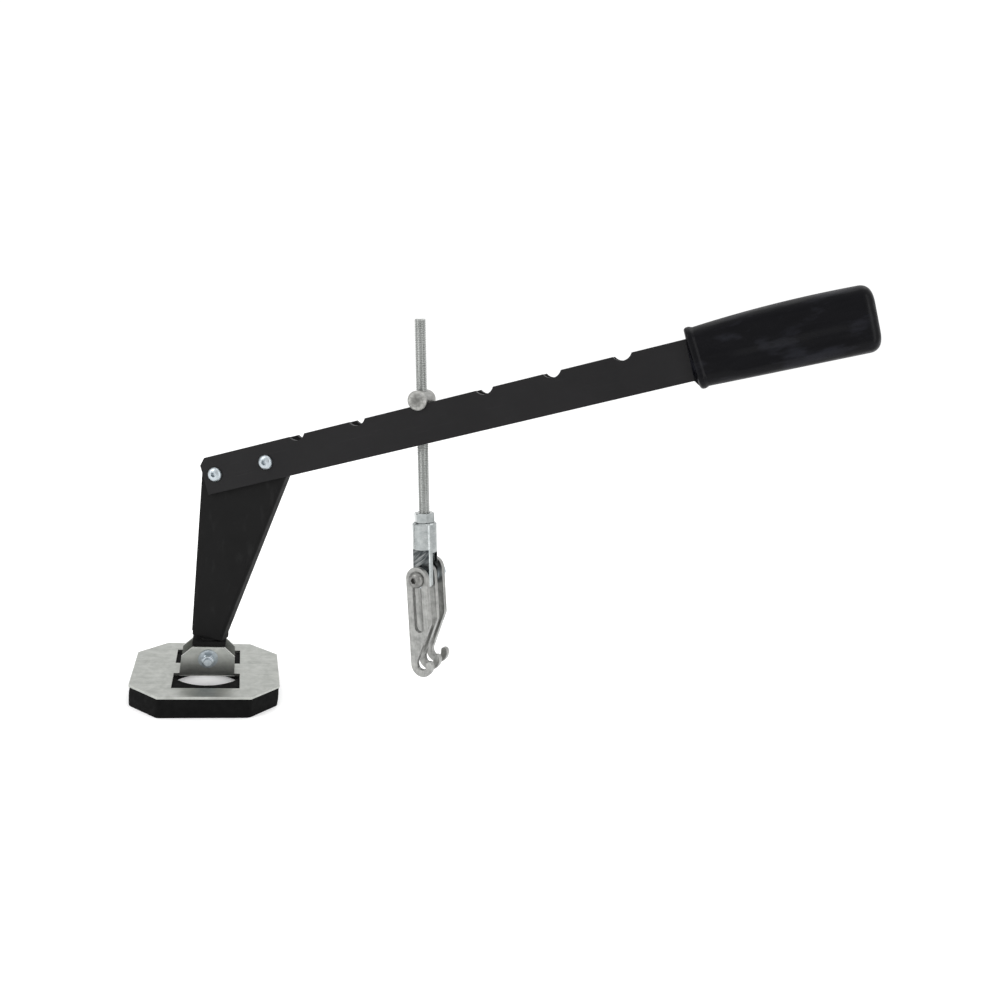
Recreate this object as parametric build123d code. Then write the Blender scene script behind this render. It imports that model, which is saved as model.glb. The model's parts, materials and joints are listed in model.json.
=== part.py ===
from build123d import *
import os
from math import cos, radians, sin, sqrt, tan

# Lever-type coil spring compressor. Millimetres, +Z up.
# Origin: centre of the rubber pad's underside. +X runs under the lever towards its handle.

# Lever: two flat bars side by side, notched along the top
bar_height = 40.0
bar_thickness = 5.0
bar_gap = 16.0
lever_tilt = 21.5          # degrees the lever rises above the pad's plane
lever_corner_x = -6.0      # lower corner of the lever's leg end
lever_corner_z = 229.5
bar_end_chamfer = 7.0
bar_edge_break = 0.5
notch_count = 6
notch_pitch = 69.5
first_notch = 118.8
seat_height = 4.5          # centre of the seats above the bars' top edge

# Handle end
grip_start = 526.0
grip_length = 167.5
grip_width = 40.0
grip_height = 64.0
grip_end_wall = 7.0
grip_clearance = 0.15
grip_corner = 13.0
grip_end_round = 7.0
lip_length = 5.0
lip_proud = 1.5
spacer_length = 120.0
spacer_margin = 2.0
rivet_radius = 4.0
rivet_spacing = 80.0

# Leg: folded channel, open towards the back
leg_wall = 3.0
leg_left = -18.0
leg_foot_width = 37.3
leg_foot_z = 70.0
leg_front_slope = 17.2     # degrees the front edge leans away from vertical
leg_top_cover = 34.0       # how far up the bars the leg reaches
leg_front_cover = 9.0      # how far up the bars its sloping edge runs
leg_top_length = 96.0      # top edge of the leg, measured along the bars
leg_fold = 3.5             # outer radius of the folds
end_plate_thickness = 5.0
end_plate_corner = 2.0

# Screws that hold the leg between the bars
lever_screw_radius = 4.0
lever_screw_spacing = 61.9
lever_screw_inset = 14.6
lever_screw_head_radius = 8.0
lever_screw_head_height = 4.4
lever_screw_socket = 5.0
lever_screw_tail = 2.0
lever_nut_flats = 13.0
lever_nut_height = 8.0
lever_washer_radius = 8.0
lever_washer_thickness = 1.6
leg_spacer_radius = 6.5

# Swivel between leg and foot
stud_radius = 6.0
stud_length = 13.0
stud_point = 1.0
stud_groove_depth = 1.5
stud_groove_width = 6.0
stud_groove_drop = 6.5     # middle of the groove below the end plate
thrust_washer_thickness = 2.0
thrust_washer_radius = 12.0
block_length = 36.0
block_edge = 1.5
grub_radius = 2.5
grub_length = 12.0

# Foot
foot_yaw = 28.5            # degrees the foot is turned about the leg
foot_length = 157.6
foot_width = 152.0
foot_corner = 31.0
plate_thickness = 3.0
plate_edge = 0.4
rubber_thickness = 22.0
rubber_inset = 0.8
rubber_hole_radius = 39.0
rubber_edge = 1.2
window_length = 71.0
window_outer = 54.0        # far side of each window from the middle
ear_gap = 28.6             # between the ears' inner faces
ear_base = 59.0
ear_shoulder = 57.0
ear_top = 33.0
ear_height = 32.5
ear_shoulder_height = 21.0
tilt_axis_height = 19.0    # cross bolt above the plate

# Cross bolt through the ears
foot_bolt_radius = 4.0
foot_bolt_flats = 13.0
foot_bolt_head = 5.3
foot_bolt_tail = 2.5
foot_nut_height = 8.0
foot_washer_radius = 10.5
foot_washer_thickness = 1.8

# Trunnion pin that rests in a pair of seats
pin_radius = 10.0
pin_length = 34.0
pin_edge = 1.0
seat_notch = 2             # which seat holds it, counted from the leg

# Threaded rod, its lock nut and the clevis fork
rod_radius = 6.0
rod_lean = 8.0             # degrees the rod's top leans towards the leg
rod_above_pin = 81.0
rod_below_pin = 117.0      # to the lock nut
rod_edge = 1.2
rod_engagement = 26.0
lock_nut_flats = 19.0
lock_nut_height = 10.0
clevis_flats = 17.0
clevis_radius = 12.8
clevis_flat_rise = 30.0    # how far above the hook bolt its two flats reach
clevis_edge = 1.5
clevis_foot_round = 7.0
clevis_throat_depth = 31.0
clevis_to_bolt = 58.0
clevis_below_bolt = 10.5
fork_slot = 9.0

# Hooks and their bolt
hook_yaw = 14.0            # degrees the hooks are turned about the rod
hook_lean = 2.4            # degrees the hooks hang off the rod's line
hook_thickness = 5.0
hook_half_width = 13.0
hook_slot_travel = 51.5
hook_shoulder_drop = 48.0
hook_throat_drop = 92.5
hook_throat_radius = 5.4
hook_neck_length = 3.0     # straight run of the throat above its round end
hook_tip_rise = 1.0
hook_slot_bevel = 1.0
hook_edge = 0.4
hook_bolt_radius = 5.0
hook_bolt_head_radius = 8.75
hook_bolt_head_height = 5.5
hook_bolt_socket = 6.0
hook_bolt_tail = 2.5
hook_washer_radius = 10.0
hook_washer_thickness = 2.0
hook_spacer_thickness = 4.5  # washers between the outer hooks and the fork
hook_nut_flats = 17.0
hook_nut_height = 9.0
hook_raised = {"near": 0.0, "middle": 3.0, "far": 6.0}

# Proportions of the nuts and screws, as shares of the size they belong to
hexagon_turning = 0.06     # corners turned off, of the flats
collar_radius = 0.47       # locking collar, of the flats
collar_round = 0.15        # of the nut's height
hexagon_height = 0.72      # of the locking nut's height
head_rim = 0.2             # upright edge of a button head, of its height
head_crown = 0.45          # flat top of a button head, of its radius
head_bulge_radius = 0.82   # a point of the dome, of the head's radius
head_bulge_height = 0.72   # the same point, of the head's height
socket_floor = 0.35        # of the head's height
shank_point = 0.15         # chamfer, of the shank's radius
grub_socket = 0.58         # of the set screw's radius

# Named clearances
pivot_gap = 0.05           # radial, round a turning shaft
seat_gap = 0.1             # radial, pin in its seat
face_gap = 0.2             # between faces that slide past each other
hole_gap = 0.25            # radial, screw in a plain hole
slot_gap = 0.5             # each side of the bolt in a hook's slot

# Sizes that follow from the ones above
half_gap = bar_gap / 2
lever_half_width = half_gap + bar_thickness
bar_length = grip_length - grip_end_wall + grip_start
plate_top = rubber_thickness + plate_thickness
tilt_axis_z = plate_top + tilt_axis_height
end_plate_bottom = leg_foot_z - end_plate_thickness
block_top = end_plate_bottom - face_gap - thrust_washer_thickness
ear_outer = ear_gap / 2 + plate_thickness
block_half_width = ear_gap / 2 - face_gap
block_half_length = block_length / 2
pin_along = first_notch + notch_pitch * seat_notch
pin_up = bar_height + seat_height
fork_half = clevis_flats / 2
hook_spacing = fork_half + 2 * face_gap + hook_spacer_thickness + hook_thickness / 2
hook_outer = hook_spacing + hook_thickness / 2

# A solid placed by the middle of its underside
standing = (Align.CENTER, Align.CENTER, Align.MIN)

# Frames: the lever's, the foot's, the rod's and the clevis's
lever_frame = Location((lever_corner_x, 0, lever_corner_z), (0, -lever_tilt, 0))
foot_frame = Location((0, 0, 0), (0, 0, foot_yaw))
tilt_frame = foot_frame * Location((0, 0, tilt_axis_z))
pin_frame = lever_frame * Location((pin_along, 0, pin_up), (0, lever_tilt, 0))
rod_frame = pin_frame * Location((0, 0, 0), (0, -rod_lean, 0))
clevis_top = -(rod_below_pin + lock_nut_height + face_gap)
clevis_frame = rod_frame * Location((0, 0, clevis_top - clevis_to_bolt), (0, 0, -hook_yaw))


def along_y(x, y, z):
    """Place a piece built on +Z so that its +Z points towards -Y."""
    return Location((x, y, z), (90, 0, 0))


def bar(radius, bottom, top):
    """Round bar on the Z axis between two heights."""
    return Pos(0, 0, bottom) * Cylinder(radius, top - bottom, align=standing)


def ring(outer, inner, bottom, top):
    """Washer or tube on the Z axis between two heights."""
    return bar(outer, bottom, top) - bar(inner, bottom - 1, top + 1)


def hexagon(flats, bottom, top):
    """Hexagonal prism on the Z axis, corners turned off at both ends."""
    prism = extrude(RegularPolygon(flats / sqrt(3), 6), top - bottom)
    turned = bar(flats / sqrt(3), 0, top - bottom)
    turned = chamfer(turned.edges().filter_by(GeomType.CIRCLE), flats * hexagon_turning)
    return Pos(0, 0, bottom) * (prism & turned)


def nut(flats, height, bore):
    """Hexagon nut that stands on the XY plane, with a plain bore."""
    return hexagon(flats, 0, height) - bar(bore, -1, height + 1)


def locking_nut(flats, height, bore):
    """Nut with a rounded collar over its nylon ring, standing on the XY plane."""
    collar = bar(flats * collar_radius, 0, height)
    collar = fillet(collar.edges().group_by(Axis.Z)[-1], height * collar_round)
    return hexagon(flats, 0, height * hexagon_height) + collar - bar(bore, -1, height + 1)


def button_screw(radius, length, head_radius, head_height, socket_flats):
    """Button-head screw: the domed head stands on the XY plane, the shank hangs below it."""
    rim = head_height * head_rim
    crown = head_radius * head_crown
    bulge = (head_radius * head_bulge_radius, head_height * head_bulge_height)
    with BuildSketch(Plane.XZ) as half_head:
        with BuildLine():
            Polyline((0, head_height), (0, 0), (head_radius, 0), (head_radius, rim))
            ThreePointArc((head_radius, rim), bulge, (crown, head_height))
            Line((crown, head_height), (0, head_height))
        make_face()
    head = revolve(half_head.sketch, Axis.Z)
    socket = extrude(RegularPolygon(socket_flats / sqrt(3), 6), head_height)
    socket = Pos(0, 0, head_height * socket_floor) * socket
    shank = chamfer(bar(radius, -length, 0).edges().group_by(Axis.Z)[0], radius * shank_point)
    return head + shank - socket


def lever_bar(side):
    """One notched bar; side is -1 for the near one, +1 for the far one."""
    profile = Polyline((0, 0), (bar_length, 0), (bar_length, bar_height),
                       (bar_end_chamfer, bar_height), (0, bar_height - bar_end_chamfer), close=True)
    blank = extrude(Plane.XZ * make_face(profile), bar_thickness / 2, both=True)
    blank = chamfer(blank.edges().filter_by(Axis.X), bar_edge_break)
    seat = bar(pin_radius + seat_gap, 0, 2 * bar_thickness)
    screw_hole = bar(lever_screw_radius + hole_gap, 0, 2 * bar_thickness)
    rivet_hole = bar(rivet_radius, 0, 2 * bar_thickness)
    holes = Part()
    for notch in range(notch_count):
        holes += along_y(first_notch + notch * notch_pitch, bar_thickness, pin_up) * seat
    for along in lever_screw_places():
        holes += along_y(along, bar_thickness, bar_height / 2) * screw_hole
    for along in rivet_places():
        holes += along_y(along, bar_thickness, bar_height / 2) * rivet_hole
    return lever_frame * Pos(0, side * (half_gap + bar_thickness / 2), 0) * (blank - holes)


def lever_screw_places():
    return [lever_screw_inset, lever_screw_inset + lever_screw_spacing]


def rivet_places():
    middle = bar_length - spacer_margin - spacer_length / 2
    return [middle - rivet_spacing / 2, middle + rivet_spacing / 2]


def handle_spacer():
    """Block that holds the bars apart inside the grip."""
    block = Box(spacer_length, bar_gap, bar_height - 2 * spacer_margin)
    block = Pos(bar_length - spacer_margin - spacer_length / 2, 0, bar_height / 2) * block
    for along in rivet_places():
        block -= along_y(along, half_gap + 1, bar_height / 2) * bar(rivet_radius, 0, bar_gap + 2)
    return lever_frame * block


def handle_rivets():
    """Two flush rivets through the bars and the spacer."""
    rivet = bar(rivet_radius, 0, 2 * lever_half_width)
    rivets = [along_y(along, lever_half_width, bar_height / 2) * rivet for along in rivet_places()]
    return lever_frame * Compound(rivets)


def grip():
    """Moulded grip: rounded outside with a lip at its mouth, and a pocket for the bars."""
    outer = RectangleRounded(grip_width, grip_height, grip_corner)
    lip = RectangleRounded(grip_width + 2 * lip_proud, grip_height + 2 * lip_proud,
                           grip_corner + lip_proud)
    body = extrude(outer, grip_length)
    body = fillet(body.edges().group_by(Axis.Z)[-1], grip_end_round)
    body += fillet(extrude(lip, lip_length).edges().group_by(Axis.Z)[-1], lip_proud)
    pocket_width = 2 * (lever_half_width + grip_clearance)
    pocket_height = bar_height + 2 * grip_clearance
    pocket = Box(pocket_width, pocket_height, grip_length - grip_end_wall, align=standing)
    lengthways = Plane(origin=(grip_start, 0, bar_height / 2), x_dir=(0, 1, 0), z_dir=(1, 0, 0))
    return lever_frame * lengthways.location * (body - pocket)


def lever_point(along, up):
    """A point of the lever's side view, in the side view of the whole object."""
    point = (lever_frame * Pos(along, 0, up)).position
    return (point.X, point.Z)


def leg_front(z):
    """X of the leg's sloping front edge at a height."""
    return leg_left + leg_foot_width + (z - leg_foot_z) * tan(radians(leg_front_slope))


def front_height(up):
    """Height at which the leg's front edge is a given distance up the bars."""
    across, rise = sin(radians(lever_tilt)), cos(radians(lever_tilt))
    slope = tan(radians(leg_front_slope))
    offset = (leg_front(0) - lever_corner_x) * across
    return (up + lever_corner_z * rise + offset) / (rise - slope * across)


def leg():
    """Folded channel: two flanges and a web along the front, open at the back."""
    side_top = front_height(leg_front_cover)
    rear_rise = leg_top_cover + (leg_left - lever_corner_x) * sin(radians(lever_tilt))
    rear_top = lever_corner_z + rear_rise / cos(radians(lever_tilt))
    outline = Polyline((leg_left, leg_foot_z), (leg_front(leg_foot_z), leg_foot_z),
                       (leg_front(side_top), side_top), lever_point(leg_top_length, leg_top_cover),
                       (leg_left, rear_top), close=True)
    shell = extrude(Plane.XZ * make_face(outline), half_gap, both=True)
    side_edges = [edge for edge in shell.edges() if abs(edge.center().Y) > half_gap - face_gap]
    folds = [edge for edge in side_edges if leg_front(edge.center().Z) - edge.center().X < face_gap]
    shell = fillet(folds, leg_fold)
    web = leg_wall / cos(radians(leg_front_slope))
    web_top = front_height(0)
    above = rear_top + bar_height
    behind = leg_left - leg_wall
    below = leg_foot_z - leg_wall
    beyond = leg_front(above)
    inside = Polyline((behind, below), (leg_front(below) - web, below), (leg_front(web_top) - web, web_top),
                      (beyond, web_top), (beyond, above), (behind, above), close=True)
    shell -= extrude(Plane.XZ * make_face(inside), half_gap - leg_wall, both=True)
    for along in lever_screw_places():
        hole = along_y(along, bar_gap, bar_height / 2) * bar(lever_screw_radius + hole_gap, 0, 2 * bar_gap)
        shell -= lever_frame * hole
    return shell


def leg_end_plate():
    """Plate welded across the leg's foot, with the hole its stud is welded into."""
    plate = Box(leg_foot_width, bar_gap, end_plate_thickness, align=(Align.MIN, Align.CENTER, Align.MIN))
    plate = fillet(plate.edges().filter_by(Axis.Z), end_plate_corner)
    plate = Pos(leg_left, 0, end_plate_bottom) * plate
    return plate - bar(stud_radius, end_plate_bottom - 1, leg_foot_z + 1)


def swivel_stud():
    """Stud under the leg, with the groove that the grub screw runs in."""
    stud = bar(stud_radius, end_plate_bottom - stud_length, leg_foot_z)
    stud = chamfer(stud.edges().group_by(Axis.Z)[0], stud_point)
    middle = end_plate_bottom - stud_groove_drop
    return stud - ring(stud_radius + 1, stud_radius - stud_groove_depth,
                       middle - stud_groove_width / 2, middle + stud_groove_width / 2)


def lever_screws():
    """Two button-head screws through the bars and the leg, heads on the near side."""
    length = 2 * lever_half_width + lever_washer_thickness + lever_nut_height + lever_screw_tail
    screw = button_screw(lever_screw_radius, length, lever_screw_head_radius,
                         lever_screw_head_height, lever_screw_socket)
    screws = [along_y(along, -lever_half_width, bar_height / 2) * screw for along in lever_screw_places()]
    return lever_frame * Compound(screws)


def lever_washers():
    """Two washers under the lever screws' nuts."""
    washer = ring(lever_washer_radius, lever_screw_radius + hole_gap, 0, lever_washer_thickness)
    washers = [along_y(along, lever_half_width + lever_washer_thickness, bar_height / 2) * washer
               for along in lever_screw_places()]
    return lever_frame * Compound(washers)


def lever_nuts():
    """Two locking nuts on the far side."""
    seat = lever_half_width + lever_washer_thickness
    one = locking_nut(lever_nut_flats, lever_nut_height, lever_screw_radius)
    nuts = [Location((along, seat, bar_height / 2), (-90, 0, 0)) * one for along in lever_screw_places()]
    return lever_frame * Compound(nuts)


def leg_spacers():
    """Two tubes inside the channel that stop the screws from crushing it."""
    reach = half_gap - leg_wall
    tube = ring(leg_spacer_radius, lever_screw_radius + hole_gap, 0, 2 * reach)
    tubes = [along_y(along, reach, bar_height / 2) * tube for along in lever_screw_places()]
    return lever_frame * Compound(tubes)


def swivel_block():
    """Block between the ears: round below its cross bore, with a blind bore for the leg's stud."""
    rise = block_top - tilt_axis_z
    upper = Box(block_length, 2 * block_half_width, rise, align=standing)
    upper = fillet(upper.edges().filter_by(Axis.Z), block_edge)
    lower = along_y(0, block_half_width, 0) * bar(block_half_length, 0, 2 * block_half_width)
    block = upper + lower
    block -= along_y(0, ear_outer, 0) * bar(foot_bolt_radius + pivot_gap, 0, 2 * ear_outer)
    bore_bottom = end_plate_bottom - stud_length - face_gap - tilt_axis_z
    block -= bar(stud_radius + pivot_gap, bore_bottom, rise + 1)
    groove_rise = end_plate_bottom - stud_groove_drop - tilt_axis_z
    block -= Location((0, 0, groove_rise), (0, 90, 0)) * bar(grub_radius + pivot_gap, 0, block_length)
    return tilt_frame * block


def swivel_grub_screw():
    """Set screw whose tip runs in the stud's groove."""
    tip = stud_radius - stud_groove_depth + face_gap
    groove_rise = end_plate_bottom - stud_groove_drop - tilt_axis_z
    screw = bar(grub_radius, tip, tip + grub_length)
    socket = extrude(RegularPolygon(grub_radius * grub_socket, 6), grub_length)
    socket = Pos(0, 0, tip + grub_length / 2) * socket
    return tilt_frame * Location((0, 0, groove_rise), (0, 90, 0)) * (screw - socket)


def thrust_washer():
    """Washer between the block and the leg's end plate."""
    inner = stud_radius + pivot_gap
    return ring(thrust_washer_radius, inner, block_top, block_top + thrust_washer_thickness)


def octagon(inset):
    """The foot's outline, a rectangle with its corners cut off, moved in by an inset."""
    half_length = foot_length / 2
    half_width = foot_width / 2
    corners = [(half_length, half_width - foot_corner), (half_length - foot_corner, half_width)]
    corners += [(-x, y) for x, y in reversed(corners)]
    corners += [(-x, -y) for x, y in corners]
    outline = make_face(Polyline(*corners, close=True))
    return offset(outline, -inset) if inset else outline


def foot_plate():
    """Steel plate with two windows; the metal between them is folded up as two ears."""
    plate = Pos(0, 0, rubber_thickness) * extrude(octagon(0), plate_thickness)
    plate = chamfer(plate.edges().group_by(Axis.Z)[-1], plate_edge)
    ear_face = Polyline((-ear_base / 2, 0), (ear_base / 2, 0), (ear_shoulder / 2, ear_shoulder_height),
                        (ear_top / 2, ear_height), (-ear_top / 2, ear_height),
                        (-ear_shoulder / 2, ear_shoulder_height), close=True)
    window_depth = window_outer - ear_gap / 2
    for side in (-1, 1):
        middle = side * (ear_gap / 2 + window_depth / 2)
        plate -= Pos(0, middle, rubber_thickness) * Box(window_length, window_depth, 3 * plate_thickness)
        inner_face = Plane(origin=(0, side * ear_gap / 2, plate_top), x_dir=(side, 0, 0),
                           z_dir=(0, -side, 0))
        ear = extrude(inner_face * make_face(ear_face), -plate_thickness)
        bolt_hole = along_y(0, side * ear_outer + plate_thickness, tilt_axis_z)
        ear -= bolt_hole * bar(foot_bolt_radius + hole_gap, 0, 2 * plate_thickness + 1)
        bend_axis = Location((0, side * ear_gap / 2, plate_top), (0, 90, 0))
        fold = bend_axis * Cylinder(plate_thickness, ear_base)
        quarter = Box(ear_base, plate_thickness, plate_thickness, align=(Align.CENTER, Align.MIN, Align.MAX))
        quarter = Pos(0, ear_gap / 2 if side > 0 else -ear_outer, plate_top) * quarter
        plate = plate + ear + (fold & quarter)
    return foot_frame * plate


def rubber_pad():
    """Thick rubber pad with the round hole that clears the damper's rod and nut."""
    pad = extrude(octagon(rubber_inset), rubber_thickness)
    pad = chamfer(pad.edges().group_by(Axis.Z)[0], rubber_edge)
    return foot_frame * (pad - bar(rubber_hole_radius, -1, rubber_thickness + 1))


def foot_bolt():
    """Hexagon bolt through the ears and the block, head on the far side."""
    seat = ear_outer + foot_washer_thickness
    head = hexagon(foot_bolt_flats, 0, foot_bolt_head)
    shank = bar(foot_bolt_radius, -(2 * seat + foot_nut_height + foot_bolt_tail), 0)
    return tilt_frame * Location((0, seat, 0), (-90, 0, 0)) * (head + shank)


def foot_nut():
    """Locking nut on the near side of the ears."""
    seat = ear_outer + foot_washer_thickness
    one = locking_nut(foot_bolt_flats, foot_nut_height, foot_bolt_radius)
    return tilt_frame * along_y(0, -seat, 0) * one


def foot_washers():
    """Wide washers outside both ears."""
    washer = ring(foot_washer_radius, foot_bolt_radius + hole_gap, 0, foot_washer_thickness)
    washers = [along_y(0, -ear_outer, 0) * washer, along_y(0, ear_outer + foot_washer_thickness, 0) * washer]
    return tilt_frame * Compound(washers)


def trunnion_pin():
    """Cross pin that rolls in a pair of seats, tapped through for the rod."""
    pin = bar(pin_radius, -pin_length / 2, pin_length / 2)
    pin = along_y(0, 0, 0) * chamfer(pin.edges().filter_by(GeomType.CIRCLE), pin_edge)
    return rod_frame * (pin - bar(rod_radius + pivot_gap, -2 * pin_radius, 2 * pin_radius))


def threaded_rod():
    rod = bar(rod_radius, clevis_top - rod_engagement, rod_above_pin)
    return rod_frame * chamfer(rod.edges().filter_by(GeomType.CIRCLE), rod_edge)


def lock_nut():
    place = Pos(0, 0, -rod_below_pin - lock_nut_height)
    return rod_frame * place * nut(lock_nut_flats, lock_nut_height, rod_radius)


def clevis_fork():
    """Round bar with two flats and a slot between them; its origin is on the hook bolt."""
    body = bar(clevis_radius, -clevis_below_bolt, clevis_to_bolt)
    body = chamfer(body.edges().group_by(Axis.Z)[-1], clevis_edge)
    cut = 2 * clevis_to_bolt
    for side in (-1, 1):
        middle = side * (fork_half + clevis_radius / 2)
        body -= Pos(0, middle, clevis_flat_rise - cut) * Box(cut, clevis_radius, cut, align=standing)
    lower = Box(2 * clevis_radius, clevis_flats, cut, align=standing)
    lower = fillet(lower.edges().filter_by(Axis.Y).group_by(Axis.Z)[0], clevis_foot_round)
    body -= Pos(0, 0, -clevis_below_bolt) * (Box(cut, clevis_flats, clevis_foot_round, align=standing) - lower)
    crotch = clevis_to_bolt - clevis_throat_depth
    body -= Pos(0, 0, crotch - cut) * Box(cut, fork_slot, cut, align=standing)
    body -= along_y(0, clevis_radius, 0) * bar(hook_bolt_radius + pivot_gap, 0, 2 * clevis_radius)
    return clevis_frame * (body - bar(rod_radius + pivot_gap, 0, clevis_to_bolt + 1))


def hook_bolt():
    """Button-head screw that carries the hooks, head on the near side."""
    seat = hook_outer + face_gap
    length = 2 * seat + hook_washer_thickness + hook_nut_height + hook_bolt_tail
    return clevis_frame * along_y(0, -seat, 0) * button_screw(
        hook_bolt_radius, length, hook_bolt_head_radius, hook_bolt_head_height, hook_bolt_socket)


def hook_nut():
    seat = hook_outer + face_gap + hook_washer_thickness
    nut_place = Location((0, seat, 0), (-90, 0, 0))
    return clevis_frame * nut_place * locking_nut(hook_nut_flats, hook_nut_height, hook_bolt_radius)


def hook_washer(start, thickness):
    """Washer on the hook bolt from a distance along it."""
    return along_y(0, start + thickness, 0) * ring(hook_washer_radius, hook_bolt_radius + pivot_gap, 0, thickness)


def hook_washers(name):
    """The washers that turn with one hook."""
    if name == "middle":
        start = hook_thickness / 2 + face_gap
        thickness = fork_slot / 2 - face_gap - start
        return clevis_frame * Compound([hook_washer(start, thickness), hook_washer(-start - thickness, thickness)])
    start = fork_half + face_gap
    if name == "near":
        start = -start - hook_spacer_thickness
    return clevis_frame * hook_washer(start, hook_spacer_thickness)


def hook_place(name):
    """Frame of one hook: origin at the top end of its slot."""
    offset_along_bolt = {"near": -hook_spacing, "middle": 0, "far": hook_spacing}[name]
    tilted = Location((0, offset_along_bolt, 0), (0, -hook_lean, 0))
    return clevis_frame * tilted * Pos(0, 0, hook_raised[name])


def hook(name):
    """Flat hook: long slot, sloping shoulder, round throat and a blunt tip."""
    side = hook_half_width
    neck = hook_throat_radius
    throat = -hook_throat_drop
    tip = throat + hook_tip_rise
    tip_middle = (side + neck) / 2
    tip_top = tip + (side - neck) / 2
    with BuildSketch(Plane.XZ) as flat:
        with BuildLine():
            ThreePointArc((-side, 0), (0, side), (side, 0))
            Polyline((side, 0), (side, -hook_shoulder_drop), (-neck, throat + hook_neck_length),
                     (-neck, throat))
            ThreePointArc((-neck, throat), (0, throat - neck), (neck, throat))
            Line((neck, throat), (neck, tip))
            ThreePointArc((neck, tip), (tip_middle, tip_top), (side, tip))
            Line((side, tip), (side, throat))
            ThreePointArc((side, throat), (0, throat - side), (-side, throat))
            Line((-side, throat), (-side, 0))
        make_face()
        shoulder = flat.vertices().sort_by_distance(Vector(side, -hook_shoulder_drop, 0))[0]
        inner = flat.vertices().sort_by_distance(Vector(-neck, throat + hook_neck_length, 0))[0]
        fillet([shoulder, inner], hook_throat_radius)
    plate = extrude(flat.sketch, hook_thickness / 2, both=True)
    plate = chamfer(plate.edges().filter_by(Plane.XZ), hook_edge)
    slot = Rot(0, 0, 90) * SlotCenterToCenter(hook_slot_travel, 2 * (hook_bolt_radius + slot_gap))
    slot = Pos(0, -hook_slot_travel / 2) * slot
    rim = offset(slot, hook_slot_bevel)
    plate -= extrude(Plane.XZ * slot, hook_thickness, both=True)
    for side_y in (-1, 1):
        face = Plane(origin=(0, side_y * hook_thickness / 2, 0), x_dir=(1, 0, 0), z_dir=(0, -1, 0))
        plate -= extrude(face * rim, -side_y * hook_slot_bevel, taper=45)
    return hook_place(name) * plate


pieces = {
    "lever_bar_near": lever_bar(-1),
    "lever_bar_far": lever_bar(1),
    "handle_spacer": handle_spacer(),
    "handle_rivets": handle_rivets(),
    "grip": grip(),
    "leg": leg(),
    "leg_end_plate": leg_end_plate(),
    "leg_spacers": leg_spacers(),
    "lever_screws": lever_screws(),
    "lever_washers": lever_washers(),
    "lever_nuts": lever_nuts(),
    "swivel_stud": swivel_stud(),
    "swivel_block": swivel_block(),
    "swivel_grub_screw": swivel_grub_screw(),
    "thrust_washer": thrust_washer(),
    "foot_plate": foot_plate(),
    "rubber_pad": rubber_pad(),
    "foot_bolt": foot_bolt(),
    "foot_nut": foot_nut(),
    "foot_washers": foot_washers(),
    "trunnion_pin": trunnion_pin(),
    "threaded_rod": threaded_rod(),
    "lock_nut": lock_nut(),
    "clevis_fork": clevis_fork(),
    "hook_bolt": hook_bolt(),
    "hook_nut": hook_nut(),
    "hook_nut_washer": clevis_frame * hook_washer(hook_outer + face_gap, hook_washer_thickness),
}
for place in ("near", "middle", "far"):
    pieces["hook_" + place] = hook(place)
    pieces["hook_washer_" + place] = hook_washers(place)

os.makedirs("parts", exist_ok=True)
for node, piece in pieces.items():
    export_step(piece, "parts/" + node + ".step")
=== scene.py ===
import json
import math
import bpy
import numpy as np
from mathutils import Matrix, Vector


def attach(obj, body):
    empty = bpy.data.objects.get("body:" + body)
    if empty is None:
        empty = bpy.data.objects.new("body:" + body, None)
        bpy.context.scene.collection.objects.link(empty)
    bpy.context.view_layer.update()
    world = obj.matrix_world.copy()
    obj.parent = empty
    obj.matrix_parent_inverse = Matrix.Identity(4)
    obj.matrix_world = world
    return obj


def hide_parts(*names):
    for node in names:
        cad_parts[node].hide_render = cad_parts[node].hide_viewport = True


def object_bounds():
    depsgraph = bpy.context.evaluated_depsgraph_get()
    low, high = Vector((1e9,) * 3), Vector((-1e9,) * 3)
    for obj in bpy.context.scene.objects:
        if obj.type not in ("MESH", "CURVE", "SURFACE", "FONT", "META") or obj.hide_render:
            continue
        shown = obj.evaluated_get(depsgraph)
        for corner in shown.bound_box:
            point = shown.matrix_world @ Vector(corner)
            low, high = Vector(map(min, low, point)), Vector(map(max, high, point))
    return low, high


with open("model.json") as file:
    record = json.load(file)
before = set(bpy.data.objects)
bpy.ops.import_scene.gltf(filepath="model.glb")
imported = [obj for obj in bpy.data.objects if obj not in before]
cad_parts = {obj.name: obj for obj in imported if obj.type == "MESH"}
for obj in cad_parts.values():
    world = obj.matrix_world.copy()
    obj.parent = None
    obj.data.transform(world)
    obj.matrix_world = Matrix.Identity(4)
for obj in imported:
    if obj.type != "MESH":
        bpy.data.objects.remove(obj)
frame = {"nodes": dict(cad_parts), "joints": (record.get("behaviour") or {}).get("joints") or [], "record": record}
cadLow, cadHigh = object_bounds()
nodes = frame["nodes"]
joints = {joint["name"]: joint for joint in frame["joints"]}
print("frame loaded:", len(nodes), "nodes")


# all corners of a node's mesh as rows of x, y, z
def nodePoints(name):
    mesh = nodes[name].data
    flat = np.zeros(len(mesh.vertices) * 3)
    mesh.vertices.foreach_get("co", flat)
    return flat.reshape(-1, 3)


# lowest and highest distance of a node's corners along a direction
def reach(name, direction):
    along = nodePoints(name) @ np.asarray(direction)
    return along.min(), along.max()


# the lever's own directions: the spacer is a long block, so its longest side runs along the lever
def leverAxes():
    points = nodePoints("handle_spacer")
    offsets = points - points.mean(axis=0)
    along = np.linalg.eigh(offsets.T @ offsets)[1][:, -1]
    along = along * np.sign(along[0])
    across = np.array([0.0, 1.0, 0.0])
    return along, across, np.cross(along, across)


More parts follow.
